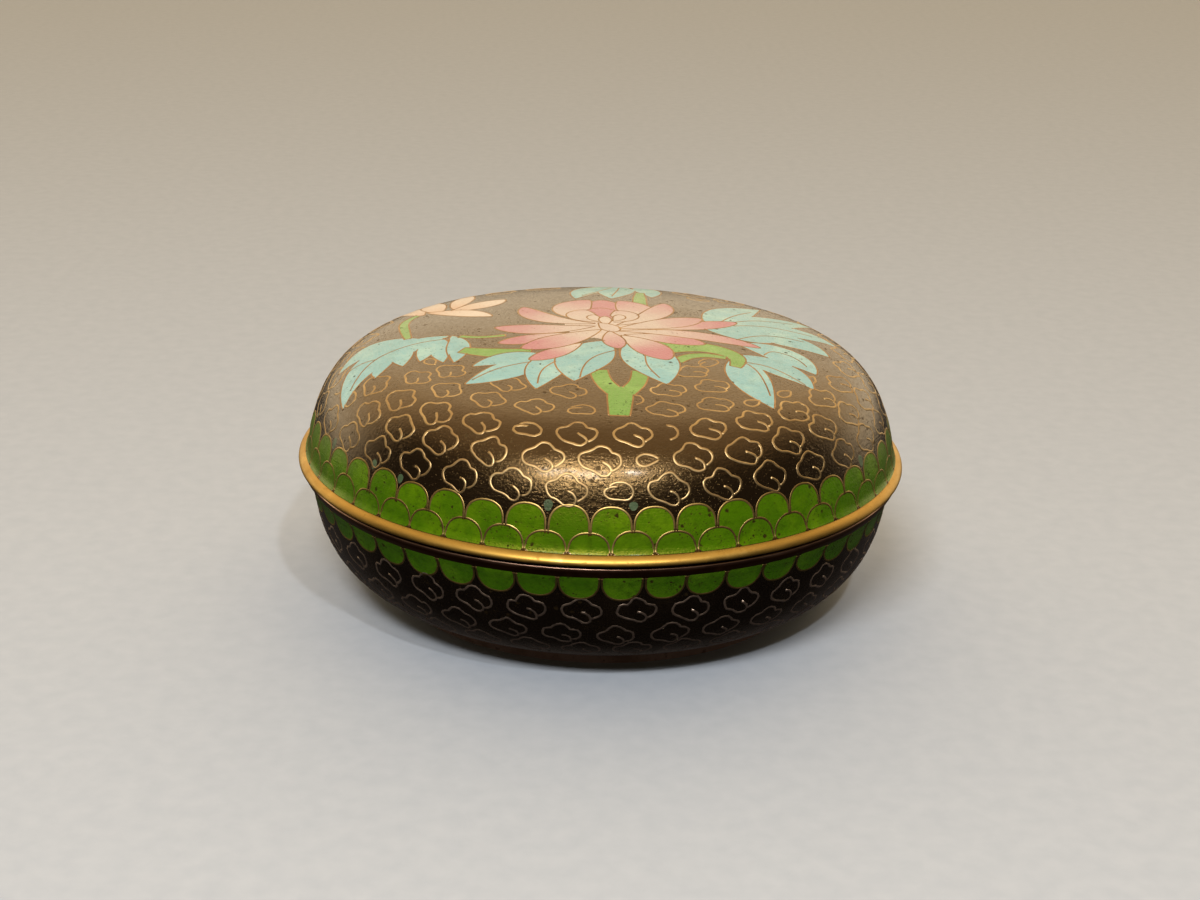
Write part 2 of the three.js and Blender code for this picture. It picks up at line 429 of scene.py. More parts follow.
lid_ground = row(lid_face, 59.3, -96, {1: "loop", 17: "loop", 25: "drop"})
lid_ground += row(lid_face, 53.8, -90, {1: "drop", 20: "loop", 27: "hook", -6: "loop"})
lid_ground += row(lid_face, 48.4, -95, {2: "hook", 14: "drop", 21: "loop", -1: "loop"})
for kind, s, degrees in (
    ("cloud", 42.0, -145), ("cloud", 42.0, -132.5), ("cloud", 41.6, -119.6), ("cloud", 41.4, -106.8),
    ("loop", 41.2, -95), ("cloud", 41.3, -73.8), ("cloud", 41.6, -60.5), ("drop", 43.6, -50.8),
    ("drop", 44.0, -39.5), ("cloud", 36.4, -141), ("cloud", 35.2, -119.2), ("cloud", 34.6, -100),
    ("cloud", 34.4, -69.4), ("cloud", 35.4, -55.2), ("cloud", 28.8, -54.5), ("loop", 27.0, -43),
    ("drop", 37.0, -151.7), ("hook", 37.4, -80.2), ("drop", 43.8, -25.7), ("cloud", 42.2, 51),
    ("cloud", 42.4, 64.5), ("cloud", 42.2, 108.5), ("cloud", 42.6, 121.5), ("loop", 36.4, 57),
):
    lid_ground.append(motif(lid_face, kind, s, degrees, 0.97))

bowl_ground = []
for depth, start in ((7.6, -92.8), (13.5, -96.6), (18.6, -93.0)):
    bowl_ground += row(bowl_face, bowl_face.length - depth, start, {}, 0.96, 1.0 if depth < 15 else 0.92)


# ---- cutting wires where a higher cell covers them ----------------------------------------------
def dense(path, step=0.5):
    """The path at even steps."""
    length = np.r_[0, np.cumsum(np.hypot(*np.diff(path, axis=0).T))]
    at = np.linspace(0, length[-1], max(3, int(length[-1] / step) + 1))
    return np.stack([np.interp(at, length, path[:, 0]), np.interp(at, length, path[:, 1])], 1)


def uncovered(path, covers):
    """The runs of the path that no cell in covers holds, each with one point to spare at its
    ends so that it reaches under its neighbour."""
    p = dense(path)
    hidden = np.zeros(len(p), bool)
    for cell in covers:
        hidden |= cell.holds(p)
    change = np.flatnonzero(np.diff(np.r_[1, hidden.astype(int), 1]))
    return [p[max(a - 1, 0): b + 1] for a, b in zip(change[::2], change[1::2]) if b - a > 2]


def seams_and_wires(cells):
    """For each cell from the lowest up, its sides and ribs without the parts that lie under
    higher cells or inside its own kin."""
    seams, wires = [], []
    for k, cell in enumerate(cells):
        above = cells[k + 1:]
        kin = [c for c in cells[:k] if cell.kin and c.kin == cell.kin]
        for side in cell.sides:
            wires += uncovered(side, above + kin)
        if cell.glaze == "spill":
            seams += uncovered(np.concatenate([cell.outline, cell.outline[:1]]), above)
        for rib in cell.ribs:
            wires += uncovered(rib, [c for c in above if not cell.kin or c.kin != cell.kin])
    return seams + wires, wires


# ---- meshes ------------------------------------------------------------------------------------
def new_piece(name, points, faces, materials, node=None):
    """A mesh object at the origin from points in millimetres and faces as index rows."""
    mesh = bpy.data.meshes.new(name)
    mesh.from_pydata((points * MM).tolist(), [], [f for rows in faces for f in rows.tolist()])
    mesh.polygons.foreach_set("use_smooth", np.ones(len(mesh.polygons), bool))
    for material in materials:
        mesh.materials.append(material)
    piece = bpy.data.objects.new(name, mesh)
    bpy.context.scene.collection.objects.link(piece)
    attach(piece, "root")
    if node:
        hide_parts(node)
    return piece


def disc(face, step, seams, rims=()):
    """Triangles of a plan disc as wide as the face, with edges along every seam: rings of
    points a step apart, staggered, with the seams' own points, joined by Delaunay's rule.
    rims are arc lengths that get a ring of RIM_COUNT points and edges of their own."""
    turn = np.arange(RIM_COUNT) * 2 * np.pi / RIM_COUNT
    circle = np.stack([np.cos(turn), np.sin(turn)], 1)
    fixed = [circle * s for s in (face.length, *rims)]
    rings = [np.zeros((1, 2))]
    for k, s in enumerate(np.arange(step, face.length - step * 0.6, step)):
        count = max(6, int(2 * np.pi * face.radius(s) / step))
        a = (np.arange(count) + 0.5 * (k % 2)) * 2 * np.pi / count
        rings.append(s * np.stack([np.cos(a), np.sin(a)], 1))
    loose = np.concatenate(rings)
    inner = [p[np.hypot(*p.T) < face.length - 0.02] for p in seams]
    inner = [p for p in inner if len(p) > 1]
    if inner or rims:
        firm = np.concatenate(inner + fixed[1:])
        near = np.concatenate([
            np.min(np.hypot(*(part[:, None] - firm[None]).transpose(2, 0, 1)), axis=1)
            for part in np.array_split(loose, 24)
        ])
        loose = loose[near > step * 0.42]
    points, edges, at = [], [], 0
    for ring in fixed:
        points.append(ring)
        edges.append(np.stack([at + np.arange(RIM_COUNT), at + (np.arange(RIM_COUNT) + 1) % RIM_COUNT], 1))
        at += RIM_COUNT
    for path in inner:
        points.append(path)
        edges.append(at + np.stack([np.arange(len(path) - 1), np.arange(1, len(path))], 1))
        at += len(path)
    points = np.concatenate([*points, loose])
    found = delaunay_2d_cdt(points.tolist(), np.concatenate(edges).tolist(), [], 0, 1e-5)
    plan = np.array([tuple(v) for v in found[0]])
    tris = np.array(found[2])
    a, b, c = (plan[tris[:, k]] for k in range(3))
    area = (b[:, 0] - a[:, 0]) * (c[:, 1] - a[:, 1]) - (b[:, 1] - a[:, 1]) * (c[:, 0] - a[:, 0])
    tris[area < 0] = tris[area < 0][:, ::-1]
    return plan, tris[np.abs(area) > 1e-7]


def rim_order(plan, length):
    """Indices of the points on the disc's rim, in order of their direction."""
    on = np.flatnonzero(np.hypot(*plan.T) > length - 1e-3)
    return on[np.argsort(np.arctan2(plan[on, 1], plan[on, 0]) % (2 * np.pi - 1e-6))]


GLAZES = ("black", "green", "painted shade green", "spill", "turquoise", "petal", "cream", "stem", "lining")


def enamelled(name, face, back, cells, seams, materials, node, base_line=0.0):
    """A closed shell: an outer disc wrapped on the face, an inner disc wrapped on the back,
    and a strip of quads from rim to rim. Each outer triangle takes the glaze of the highest
    cell that holds its middle, and each corner its share of the way from base to tip."""
    plan, tris = disc(face, FACE_STEP, seams, (base_line,) if base_line else ())
    back_plan, back_tris = disc(back, LINING_STEP, [])
    outer, outer_normal = face.place(plan)
    inner, inner_normal = back.place(back_plan)
    inner_normal = -inner_normal
    middle = plan[tris].mean(1)
    glaze = np.full(len(tris), GLAZES.index("black"))
    blush, tint = np.zeros((len(tris), 3)), np.full((len(tris), 3), 0.5)
    for cell in cells:
        mine = cell.holds(middle)
        glaze[mine], tint[mine] = GLAZES.index(cell.glaze), cell.tint
        along = cell.tip - cell.base
        share = ((plan[tris[mine]] - cell.base) @ along / (along @ along)).clip(0, 1)
        blush[mine] = cell.blush[0] + (cell.blush[1] - cell.blush[0]) * share
    corner_normal = outer_normal[tris]
    if base_line:
        flat = np.hypot(*middle.T) < base_line
        glaze[flat] = GLAZES.index("lining")
        corner_normal[flat] = (0, 0, -1)
    rim, back_rim = rim_order(plan, face.length), rim_order(back_plan, back.length)
    shift = len(plan)
    strip = np.stack([rim, np.roll(rim, -1), np.roll(back_rim, -1) + shift, back_rim + shift], 1)
    back_tris = back_tris + shift
    if face.side > 0:
        back_tris, strip = back_tris[:, ::-1], strip[:, ::-1]
    else:
        tris, corner_normal = tris[:, ::-1], corner_normal[:, ::-1]
        blush, tint = blush[:, ::-1], tint[:, ::-1]
    points = np.concatenate([outer, inner])
    piece = new_piece(name, points, [tris, back_tris, strip], materials, node)
    mesh = piece.data
    lining = GLAZES.index("lining")
    rest = len(back_tris) + len(strip)
    mesh.polygons.foreach_set("material_index", np.r_[glaze, np.full(rest, lining)].astype(np.int32))
    down = np.broadcast_to([0.0, 0.0, -1.0 if face.side > 0 else 1.0], (len(strip) * 4, 3))
    normals = np.concatenate([corner_normal.reshape(-1, 3),
                              inner_normal[back_tris.ravel() - shift], down])
    mesh.normals_split_custom_set(normals.tolist())
    pad = len(mesh.loops) - blush.size
    for label, values in (("Blush", blush), ("Tint", tint)):
        layer = mesh.attributes.new(label, "FLOAT", "CORNER")
        layer.data.foreach_set("value", np.r_[values.ravel(), np.full(pad, 0.5)].astype(np.float32))
    mesh.update()


def wires(name, face, paths, material, width=WIRE, proud=PROUD, deep=0.07):
    """Flat wire bedded in the glaze: each path carries a low triangle, its crown proud of the
    face and its two feet deep below it, as wide at the face as the wire is."""
    points, faces, caps, at = [], [], [], 0
    spread = width / 2 * (proud + deep) / proud
    for path in paths:
        middle, normal = face.place(path)
        way = np.gradient(middle, axis=0)
        across = np.cross(normal, way)
        across /= np.linalg.norm(across, axis=1)[:, None]
        section = np.stack([middle + normal * proud, middle - normal * deep + across * spread,
                            middle - normal * deep - across * spread], 1)
        points.append(section.reshape(-1, 3))
        k = np.arange(len(path) - 1)[:, None] * 3 + at
        j = np.arange(3)
        faces.append(np.stack([k + j, k + 3 + j, k + 3 + (j + 1) % 3, k + (j + 1) % 3], -1).reshape(-1, 4))
        end = at + 3 * (len(path) - 1)
        caps.append(np.array([[at, at + 1, at + 2], [end + 2, end + 1, end]]))
        at += 3 * len(path)
    new_piece(name, np.concatenate(points), faces + caps, [material])


def arc(centre, radius, start, stop, count=7, tall=None):
    """Points of an arc, in degrees, as [radius, height]; tall makes it an ellipse's."""
    a = np.radians(np.linspace(start, stop, count))
    return [(centre[0] + radius * math.cos(t), centre[1] + (tall or radius) * math.sin(t)) for t in a]


def turned_ring(name, section, material, node, edge=None):
    """A ring: a closed section [radius, height], counter-clockwise, carried round the axis. Its
    attribute, the mask of a painted highlight along that edge, falls from 1 at the point edge of
    the section to 0 at 0.45 mm from it."""
    p = np.array(section)
    turn = np.arange(RIM_COUNT) * 2 * np.pi / RIM_COUNT
    points = np.stack([np.outer(np.cos(turn), p[:, 0]), np.outer(np.sin(turn), p[:, 0]),
                       np.broadcast_to(p[:, 1], (RIM_COUNT, len(p)))], -1).reshape(-1, 3)
    k, j = np.meshgrid(np.arange(RIM_COUNT), np.arange(len(p)), indexing="ij")
    k1, j1 = (k + 1) % RIM_COUNT, (j + 1) % len(p)
    quads = np.stack([k * len(p) + j, k1 * len(p) + j, k1 * len(p) + j1, k * len(p) + j1], -1).reshape(-1, 4)
    piece = new_piece(name, points, [quads], [material], node)
    if edge:
        # mask of the painted highlight along the section's edge
        wear_and_edge_highlight = (1 - np.hypot(*(p - edge).T) / 0.45).clip(0, 1)
        layer = piece.data.attributes.new("EdgeHighlight", "FLOAT", "POINT")
        layer.data.foreach_set("value", np.tile(wear_and_edge_highlight, RIM_COUNT).astype(np.float32))
    piece.data.set_sharp_from_angle(angle=math.radians(38))


# ---- shader node groups -----------------------------------------------------------------------
def new_group(name, inputs, outputs):
    """A shader node group with named float, vector or colour sockets."""
    kinds = {"value": "NodeSocketFloat", "vector": "NodeSocketVector", "colour": "NodeSocketColor"}
    group = bpy.data.node_groups.new(name, "ShaderNodeTree")
    for way, sockets in (("INPUT", inputs), ("OUTPUT", outputs)):
        for label, kind, start in sockets:
            socket = group.interface.new_socket(label, in_out=way, socket_type=kinds[kind])
            if start is not None:
                socket.default_value = start
    return group, Wiring(group)


class Wiring:
    """Shorthand for adding nodes to a tree and joining them."""

    def __init__(self, tree):
        self.tree = tree

    def node(self, kind, settings=None, **joins):
        """A node with its settings, and its inputs joined by name, or by i and their number."""
        made = self.tree.nodes.new("ShaderNode" + kind if not kind.startswith("NodeGroup") else kind)
        for key, value in (settings or {}).items():
            setattr(made, key, value)
        for key, value in joins.items():
            label = key.replace("_", " ")
            numbered = label[0] == "i" and label[1:].isdigit()
            self.put(made.inputs[int(label[1:]) if numbered else label], value)
        return made

    def put(self, socket, value):
        """Joins the socket to another one, or sets its own value."""
        if isinstance(value, bpy.types.NodeSocket):
            self.tree.links.new(value, socket)
        else:
            socket.default_value = value

    def math(self, operation, a, b=0.0, c=0.0, clamp=False):
        """One sum of two values, or of three where the operation is a*b + c."""
        made = self.node("Math", {"operation": operation, "use_clamp": clamp}, i0=a, i1=b)
        if operation == "MULTIPLY_ADD":
            self.put(made.inputs[2], c)
        return made.outputs[0]

    def fit(self, value, low, high, to_low=0.0, to_high=1.0):
        """The value carried in a straight line from low and high to to_low and to_high, and held
        there beyond them."""
        return self.node("MapRange", None, Value=value, From_Min=low, From_Max=high, To_Min=to_low,
                         To_Max=to_high).outputs[0]

    def blend(self, share, a, b):
        """The colour a(1 - share) + b share."""
        made = self.node("Mix", {"data_type": "RGBA", "clamp_factor": True})
        self.put(made.inputs[0], share)
        self.put(made.inputs[6], a)
        self.put(made.inputs[7], b)
        return made.outputs[2]

    def place_group(self, group, **joins):
        return self.node("Group", {"node_tree": group}, **joins)


def lathe_marks_group():
    """Fine polishing scratches that run round the box: noise on the direction from the axis,
    coarse, and on radius minus height, very fine, so that each streak is long and thin. Haze is
    broad noise, and Grain the fine speckle that the stone leaves."""
    group, w = new_group("Polishing marks", [("Fineness", "value", 1.0)],
                         [("Marks", "value", None), ("Haze", "value", None), ("Grain", "value", None)])
    gin, gout = w.node("NodeGroupInput"), w.node("NodeGroupOutput")
    where = w.node("TexCoord").outputs["Object"]
    parts = w.node("SeparateXYZ", None, Vector=where)
    flat = w.node("CombineXYZ", None, X=parts.outputs["X"], Y=parts.outputs["Y"])
    radius = w.node("VectorMath", {"operation": "LENGTH"}, i0=flat.outputs[0]).outputs["Value"]
    way = w.node("VectorMath", {"operation": "NORMALIZE"}, i0=flat.outputs[0]).outputs[0]
    across = w.math("SUBTRACT", radius, parts.outputs["Z"])
    fine = w.math("MULTIPLY", across, w.math("MULTIPLY", gin.outputs["Fineness"], 900.0))
    streak = w.node("VectorMath", {"operation": "SCALE"}, i0=way, Scale=5.0).outputs[0]
    split = w.node("SeparateXYZ", None, Vector=streak)
    joined = w.node("CombineXYZ", None, X=split.outputs["X"], Y=split.outputs["Y"], Z=fine).outputs[0]
    marks = w.node("TexNoise", None, Vector=joined, Scale=3.0, Detail=4.0, Roughness=0.7).outputs[0]
    w.put(gout.inputs["Marks"], w.fit(marks, 0.35, 0.65))
    haze = w.node("TexNoise", None, Vector=where, Scale=55.0, Detail=3.0, Roughness=0.6).outputs[0]
    w.put(gout.inputs["Haze"], w.fit(haze, 0.35, 0.7))
    grain = w.node("TexNoise", None, Vector=where, Scale=2100.0, Detail=2.0, Roughness=0.6).outputs[0]
    w.put(gout.inputs["Grain"], w.fit(grain, 0.40, 0.62))
    return group


def pits_group():
    """Pinholes of the firing: cells of a Voronoi pattern, of which a share hold a round pit
    of their own size. Many small ones where the glaze is poor, few elsewhere."""
    group, w = new_group(
        "Kiln pits",
        [("Scale", "value", 500.0), ("Share", "value", 0.2), ("Size", "value", 0.3)],
        [("Pit", "value", None)],
    )
    gin, gout = w.node("NodeGroupInput"), w.node("NodeGroupOutput")
    where = w.node("TexCoord").outputs["Object"]
    warp = w.node("TexNoise", None, Vector=where, Scale=900.0, Detail=1.0).outputs["Color"]
    bent = w.node("VectorMath", {"operation": "MULTIPLY_ADD"}, i0=warp, i1=(0.0006,) * 3, i2=where).outputs[0]
    cells = w.node("TexVoronoi", None, Vector=bent, Scale=gin.outputs["Scale"], Randomness=1.0)
    luck = w.node("SeparateXYZ", None, Vector=cells.outputs["Color"])
    poor = w.node("TexNoise", None, Vector=where, Scale=120.0, Detail=1.0).outputs[0]
    share = w.math("MULTIPLY", gin.outputs["Share"], w.fit(poor, 0.44, 0.66, 0.1, 3.4))
    chosen = w.math("LESS_THAN", luck.outputs["X"], share)
    reach = w.math("MULTIPLY", gin.outputs["Size"], w.math("MULTIPLY_ADD", luck.outputs["Y"], 0.8, 0.4))
    deep = w.math("SUBTRACT", 1.0, w.math("DIVIDE", cells.outputs["Distance"], reach))
    w.put(gout.inputs["Pit"], w.math("MULTIPLY", chosen, w.fit(deep, 0.0, 0.45)))
    return group


def mottle_group():
    """Cloudy variation of a glaze: three tints blended by broad and by fine noise."""
    group, w = new_group(
        "Glaze mottling",
        [("Plain", "colour", (0.5, 0.5, 0.5, 1)), ("Light", "colour", (0.6, 0.6, 0.6, 1)),
         ("Dark", "colour", (0.4, 0.4, 0.4, 1)), ("Scale", "value", 160.0)],
        [("Color", "colour", None), ("Cloud", "value", None)],
    )
    gin, gout = w.node("NodeGroupInput"), w.node("NodeGroupOutput")
    where = w.node("TexCoord").outputs["Object"]
    scale = gin.outputs["Scale"]
    finer = w.math("MULTIPLY", scale, 5.0)
    broad = w.node("TexNoise", None, Vector=where, Scale=scale, Detail=3.0, Roughness=0.55).outputs[0]
    fine = w.node("TexNoise", None, Vector=where, Scale=finer, Detail=3.0, Roughness=0.7).outputs[0]
    colour = w.blend(w.fit(broad, 0.48, 0.72), gin.outputs["Plain"], gin.outputs["Light"])
    colour = w.blend(w.fit(fine, 0.50, 0.78, 0.0, 0.8), colour, gin.outputs["Dark"])
    w.put(gout.inputs["Color"], colour)
    w.put(gout.inputs["Cloud"], broad)
    return group


def wear_group():
    """Handled metal: patches of tarnish and rubbed places, from two scales of noise."""
    group, w = new_group(
        "Metal wear",
        [("Clean", "colour", (0.8, 0.6, 0.3, 1)), ("Tarnish", "colour", (0.4, 0.2, 0.1, 1)),
         ("Rubbed", "colour", (0.9, 0.7, 0.4, 1)), ("Scale", "value", 90.0), ("Amount", "value", 0.4)],
        [("Color", "colour", None), ("Dull", "value", None)],
    )
    gin, gout = w.node("NodeGroupInput"), w.node("NodeGroupOutput")
    where = w.node("TexCoord").outputs["Object"]
    scale = gin.outputs["Scale"]
    finer = w.math("MULTIPLY", scale, 9.0)
    broad = w.node("TexNoise", None, Vector=where, Scale=scale, Detail=4.0, Roughness=0.65).outputs[0]
    fine = w.node("TexNoise", None, Vector=where, Scale=finer, Detail=2.0, Roughness=0.6).outputs[0]
    stain = w.math("MULTIPLY", w.fit(broad, 0.46, 0.68), gin.outputs["Amount"])
    spot = w.math("MULTIPLY", w.fit(fine, 0.60, 0.72), gin.outputs["Amount"])
    dull = w.math("MAXIMUM", stain, spot)
    colour = w.blend(w.fit(broad, 0.42, 0.30), gin.outputs["Clean"], gin.outputs["Rubbed"])
    w.put(gout.inputs["Color"], w.blend(dull, colour, gin.outputs["Tarnish"]))
    w.put(gout.inputs["Dull"], dull)
    return group


MARKS, PITS, MOTTLE, WEAR = lathe_marks_group(), pits_group(), mottle_group(), wear_group()


# ---- materials ---------------------------------------------------------------------------------
def new_material(name):
    """A material whose Principled shader is joined to its output, and the means to wire it."""
    material = bpy.data.materials.new(name)
    material.use_nodes = True
    material.node_tree.nodes.clear()
    w = Wiring(material.node_tree)
    shader = w.node("BsdfPrincipled")
    out = w.node("OutputMaterial")
    w.put(out.inputs["Surface"], shader.outputs[0])
    return material, w, shader


def enamel(name, plain, light, dark, pit_tint, pit_share=0.12, pit_size=0.24, pit_scale=620.0, mottle=170.0,
           gloss=0.24, tip=None, polish=0.3, cast=(1.0, 0.86, 0.7), ior=1.55):
    """A fired, stoned and polished glaze. Its tint wanders, pinholes are darker, hollow and
    dull, and polishing marks run round the box. tip is a second colour towards a petal's tip."""
    material, w, shader = new_material(name)
    cloud = w.place_group(MOTTLE, Plain=(*plain, 1), Light=(*light, 1), Dark=(*dark, 1), Scale=mottle)
    colour = cloud.outputs["Color"]
    tint = w.node("Attribute", {"attribute_name": "Tint"}).outputs["Fac"]
    if tip:
        blush = w.node("Attribute", {"attribute_name": "Blush"}).outputs["Fac"]
        edge = w.math("ADD", blush, w.fit(cloud.outputs["Cloud"], 0.3, 0.7, -0.12, 0.12))
        colour = w.blend(w.fit(edge, 0.30, 0.95), colour, (*tip, 1))
    colour = w.blend(w.fit(tint, 0.0, 1.0, 0.0, 0.35), colour, w.blend(0.55, colour, (*dark, 1)))
    pits = w.place_group(PITS, Scale=pit_scale, Share=pit_share, Size=pit_size).outputs["Pit"]
    specks = w.place_group(PITS, Scale=pit_scale * 3.3, Share=pit_share * 1.4, Size=0.36).outputs["Pit"]
    pits = w.math("MAXIMUM", pits, w.math("MULTIPLY", specks, 0.8))
    colour = w.blend(pits, colour, (*pit_tint, 1))
    marks = w.place_group(MARKS, Fineness=1.0)
    rough = w.math("MULTIPLY_ADD", marks.outputs["Haze"], 0.10, gloss)
    rough = w.math("MULTIPLY_ADD", marks.outputs["Marks"], 0.14, rough)
    rough = w.math("MULTIPLY_ADD", pits, 0.4, rough, clamp=True)
    height = w.math("MULTIPLY_ADD", marks.outputs["Marks"], 0.42, w.math("MULTIPLY", pits, -1.0))
    height = w.math("MULTIPLY_ADD", marks.outputs["Grain"], 0.6, height)
    bump = w.node("Bump", None, Strength=0.6, Distance=0.00005, Height=height)
    sheen = w.math("MULTIPLY_ADD", marks.outputs["Marks"], -0.55 * polish, polish)
    sheen = w.math("MULTIPLY", sheen, w.fit(marks.outputs["Grain"], 0.0, 1.0, 1.25, 0.25))
    w.put(shader.inputs["Base Color"], colour)
    w.put(shader.inputs["Roughness"], rough)
    w.put(shader.inputs["Normal"], bump.outputs[0])
    w.put(shader.inputs["Coat Weight"], w.math("MULTIPLY", sheen, w.math("SUBTRACT", 1.0, pits), clamp=True))
    shader.inputs["Coat Roughness"].default_value = 0.14
    shader.inputs["Coat IOR"].default_value = 1.5
    shader.inputs["IOR"].default_value = ior
    shader.inputs["Specular Tint"].default_value = (*cast, 1)
    return material


def metal(name, clean, rubbed, tarnish, scale=90.0, amount=0.4, rough=0.24, dull_rough=0.3, edge=None):
    """Metal with wear: tarnish in patches and specks, brighter where it is rubbed, with polishing
    marks that run round the box. edge is the colour of a painted highlight laid along a rounded edge."""
    material, w, shader = new_material(name)
    wear_and_edge_highlight = w.place_group(WEAR, Clean=(*clean, 1), Rubbed=(*rubbed, 1), Tarnish=(*tarnish, 1), Scale=scale,
                         Amount=amount)
    marks = w.place_group(MARKS, Fineness=0.6)
    colour = wear_and_edge_highlight.outputs["Color"]
    # painted highlight: the edge colour laid along the ring's rounded edge, weaker where the haze noise is
    # high
    if edge:
        painted_edge_highlight = w.node("Attribute", {"attribute_name": "EdgeHighlight"}).outputs["Fac"]
        painted_edge_highlight = w.math("MULTIPLY", painted_edge_highlight, w.fit(marks.outputs["Haze"], 0.0, 1.0, 1.0, 0.45))
        colour = w.blend(painted_edge_highlight, colour, (*edge, 1))
    level = w.math("MULTIPLY_ADD", wear_and_edge_highlight.outputs["Dull"], dull_rough, rough)
    level = w.math("MULTIPLY_ADD", marks.outputs["Marks"], 0.08, level)
    scratches = w.math("MULTIPLY", marks.outputs["Marks"], 0.25)
    height = w.math("MULTIPLY_ADD", wear_and_edge_highlight.outputs["Dull"], -0.5, scratches)
    bump = w.node("Bump", None, Strength=0.25, Distance=0.00004, Height=height)
    w.put(shader.inputs["Base Color"], colour)
    w.put(shader.inputs["Roughness"], level)
    w.put(shader.inputs["Normal"], bump.outputs[0])
    shader.inputs["Metallic"].default_value = 1.0
    return material


SCALE_GLAZE = dict(pit_share=0.16, pit_size=0.28, polish=0.08, cast=(1.0, 0.80, 0.14))
# the black's reflection tint is warmed orange to carry the room's warm light: painted warm light in its
# reflections, not a colour of the glaze
black = enamel("black_ground", (0.0022, 0.0016, 0.0014), (0.0040, 0.0028, 0.0022), (0.0014, 0.001, 0.001),
               (0.001, 0.001, 0.001), pit_share=0.18, pit_size=0.32, pit_scale=700.0, cast=(1.0, 0.66, 0.29),
               ior=1.74, gloss=0.10, polish=0.26)
glazes = {
    "black": black,
    "green": enamel("green_scale_enamel", (0.044, 0.124, 0.0006), (0.078, 0.175, 0.001),
                    (0.018, 0.056, 0.0005), (0.003, 0.006, 0.001), **SCALE_GLAZE),
    # the lid's green enamel painted darker for the bowl's scales: painted shade under the bead
    "painted shade green": enamel("bowl_scale_enamel_painted_shade", (0.023, 0.082, 0.0006), (0.044, 0.120, 0.001),
                         (0.010, 0.038, 0.0005), (0.003, 0.006, 0.001), **SCALE_GLAZE),
    "spill": enamel("green_overspill", (0.040, 0.078, 0.038), (0.062, 0.105, 0.058), (0.02, 0.042, 0.02),
                    (0.006, 0.010, 0.004)),
    "turquoise": enamel("turquoise_leaf_enamel", (0.160, 0.400, 0.450), (0.290, 0.520, 0.500),
                        (0.100, 0.270, 0.290), (0.030, 0.030, 0.020), pit_share=0.06, mottle=120.0),
    "petal": enamel("petal_enamel", (0.460, 0.400, 0.370), (0.520, 0.465, 0.430), (0.390, 0.300, 0.300),
                    (0.180, 0.080, 0.050), pit_share=0.04, tip=(0.36, 0.115, 0.165)),
    "cream": enamel("cream_petal_enamel", (0.560, 0.500, 0.440), (0.620, 0.570, 0.520), (0.480, 0.380, 0.300),
                    (0.180, 0.100, 0.050), pit_share=0.04, tip=(0.50, 0.34, 0.24)),
    "stem": enamel("stem_enamel", (0.105, 0.285, 0.045), (0.180, 0.380, 0.085), (0.060, 0.190, 0.022),
                   (0.010, 0.020, 0.004), pit_share=0.16),
    "lining": enamel("lining_enamel", (0.045, 0.330, 0.340), (0.070, 0.400, 0.400), (0.030, 0.250, 0.270),
                     (0.010, 0.060, 0.060), pit_share=0.10, gloss=0.14, mottle=60.0),
}
gilt = metal("gilt_brass", (0.45, 0.29, 0.07), (0.58, 0.40, 0.12), (0.29, 0.15, 0.03), amount=0.35,
             rough=0.40)
# heavy tarnish darkens most of the foot ring: partly its own tarnish, partly painted shade under the bowl
worn_foot = metal("worn_foot_brass", (0.58, 0.42, 0.34), (0.76, 0.58, 0.48), (0.28, 0.19, 0.15),
                  amount=0.7, rough=0.48)
wire_gilt, scale_wire, bowl_wire, darker_figure_wire = (
    metal(name, clean, rubbed, tarnish, scale=140.0, amount=amount, rough=rough, dull_rough=0.2)
    for name, clean, rubbed, tarnish, amount, rough in (
        ("gilt_wire", (0.42, 0.31, 0.16), (0.52, 0.40, 0.22), (0.26, 0.16, 0.07), 0.55, 0.38),
        ("scale_wire", (0.40, 0.29, 0.11), (0.54, 0.40, 0.17), (0.24, 0.15, 0.05), 0.55, 0.38),
        ("bowl_wire", (0.58, 0.47, 0.40), (0.70, 0.57, 0.49), (0.32, 0.23, 0.18), 0.5, 0.38),
        ("darker_figure_wire", (0.32, 0.20, 0.10), (0.44, 0.29, 0.15), (0.17, 0.10, 0.05), 0.55, 0.40),
    )
)
# the band's copper colours are kept far darker than copper's own: painted shade on the whole band; its edge
# colour is a painted highlight along the top outer edge
copper = metal("copper_band", (0.15, 0.055, 0.016), (0.27, 0.12, 0.05), (0.06, 0.02, 0.007), amount=0.6,
               rough=0.28, edge=(0.62, 0.42, 0.34))


# ---- the pieces ----------------------------------------------------------------------------------
skins = [glazes[g] for g in GLAZES]

lid_inside = TurnedFace(inside(lid_outline(), 1, WALL, 1.6), 1)
bowl_inside = TurnedFace(inside(bowl_outline(), -1, WALL, 0.0), -1)
lid_seams = seams_and_wires(lid_scales + lid_figures)[0]
bowl_seams, bowl_scale_runs = seams_and_wires(bowl_scales)
enamelled("lid_enamel", lid_face, lid_inside, lid_scales + lid_figures, lid_seams, skins, "lid")
enamelled("bowl_enamel", bowl_face, bowl_inside, bowl_scales, bowl_seams, skins, "bowl", FOOT_LINE)

lid_clouds = [run for path in lid_ground for run in uncovered(path, lid_figures)]
wires("lid_cloud_wires", lid_face, lid_clouds, wire_gilt)
wires("lid_scale_wires", lid_face, seams_and_wires(lid_scales)[1], scale_wire)
# the picture's wire is a darker metal than the ground's wire
wires("lid_figure_wires", lid_face, seams_and_wires(lid_figures)[1], darker_figure_wire, FINE_WIRE)
wires("bowl_cloud_wires", bowl_face, bowl_ground, bowl_wire)
wires("bowl_scale_wires", bowl_face, bowl_scale_runs, scale_wire)

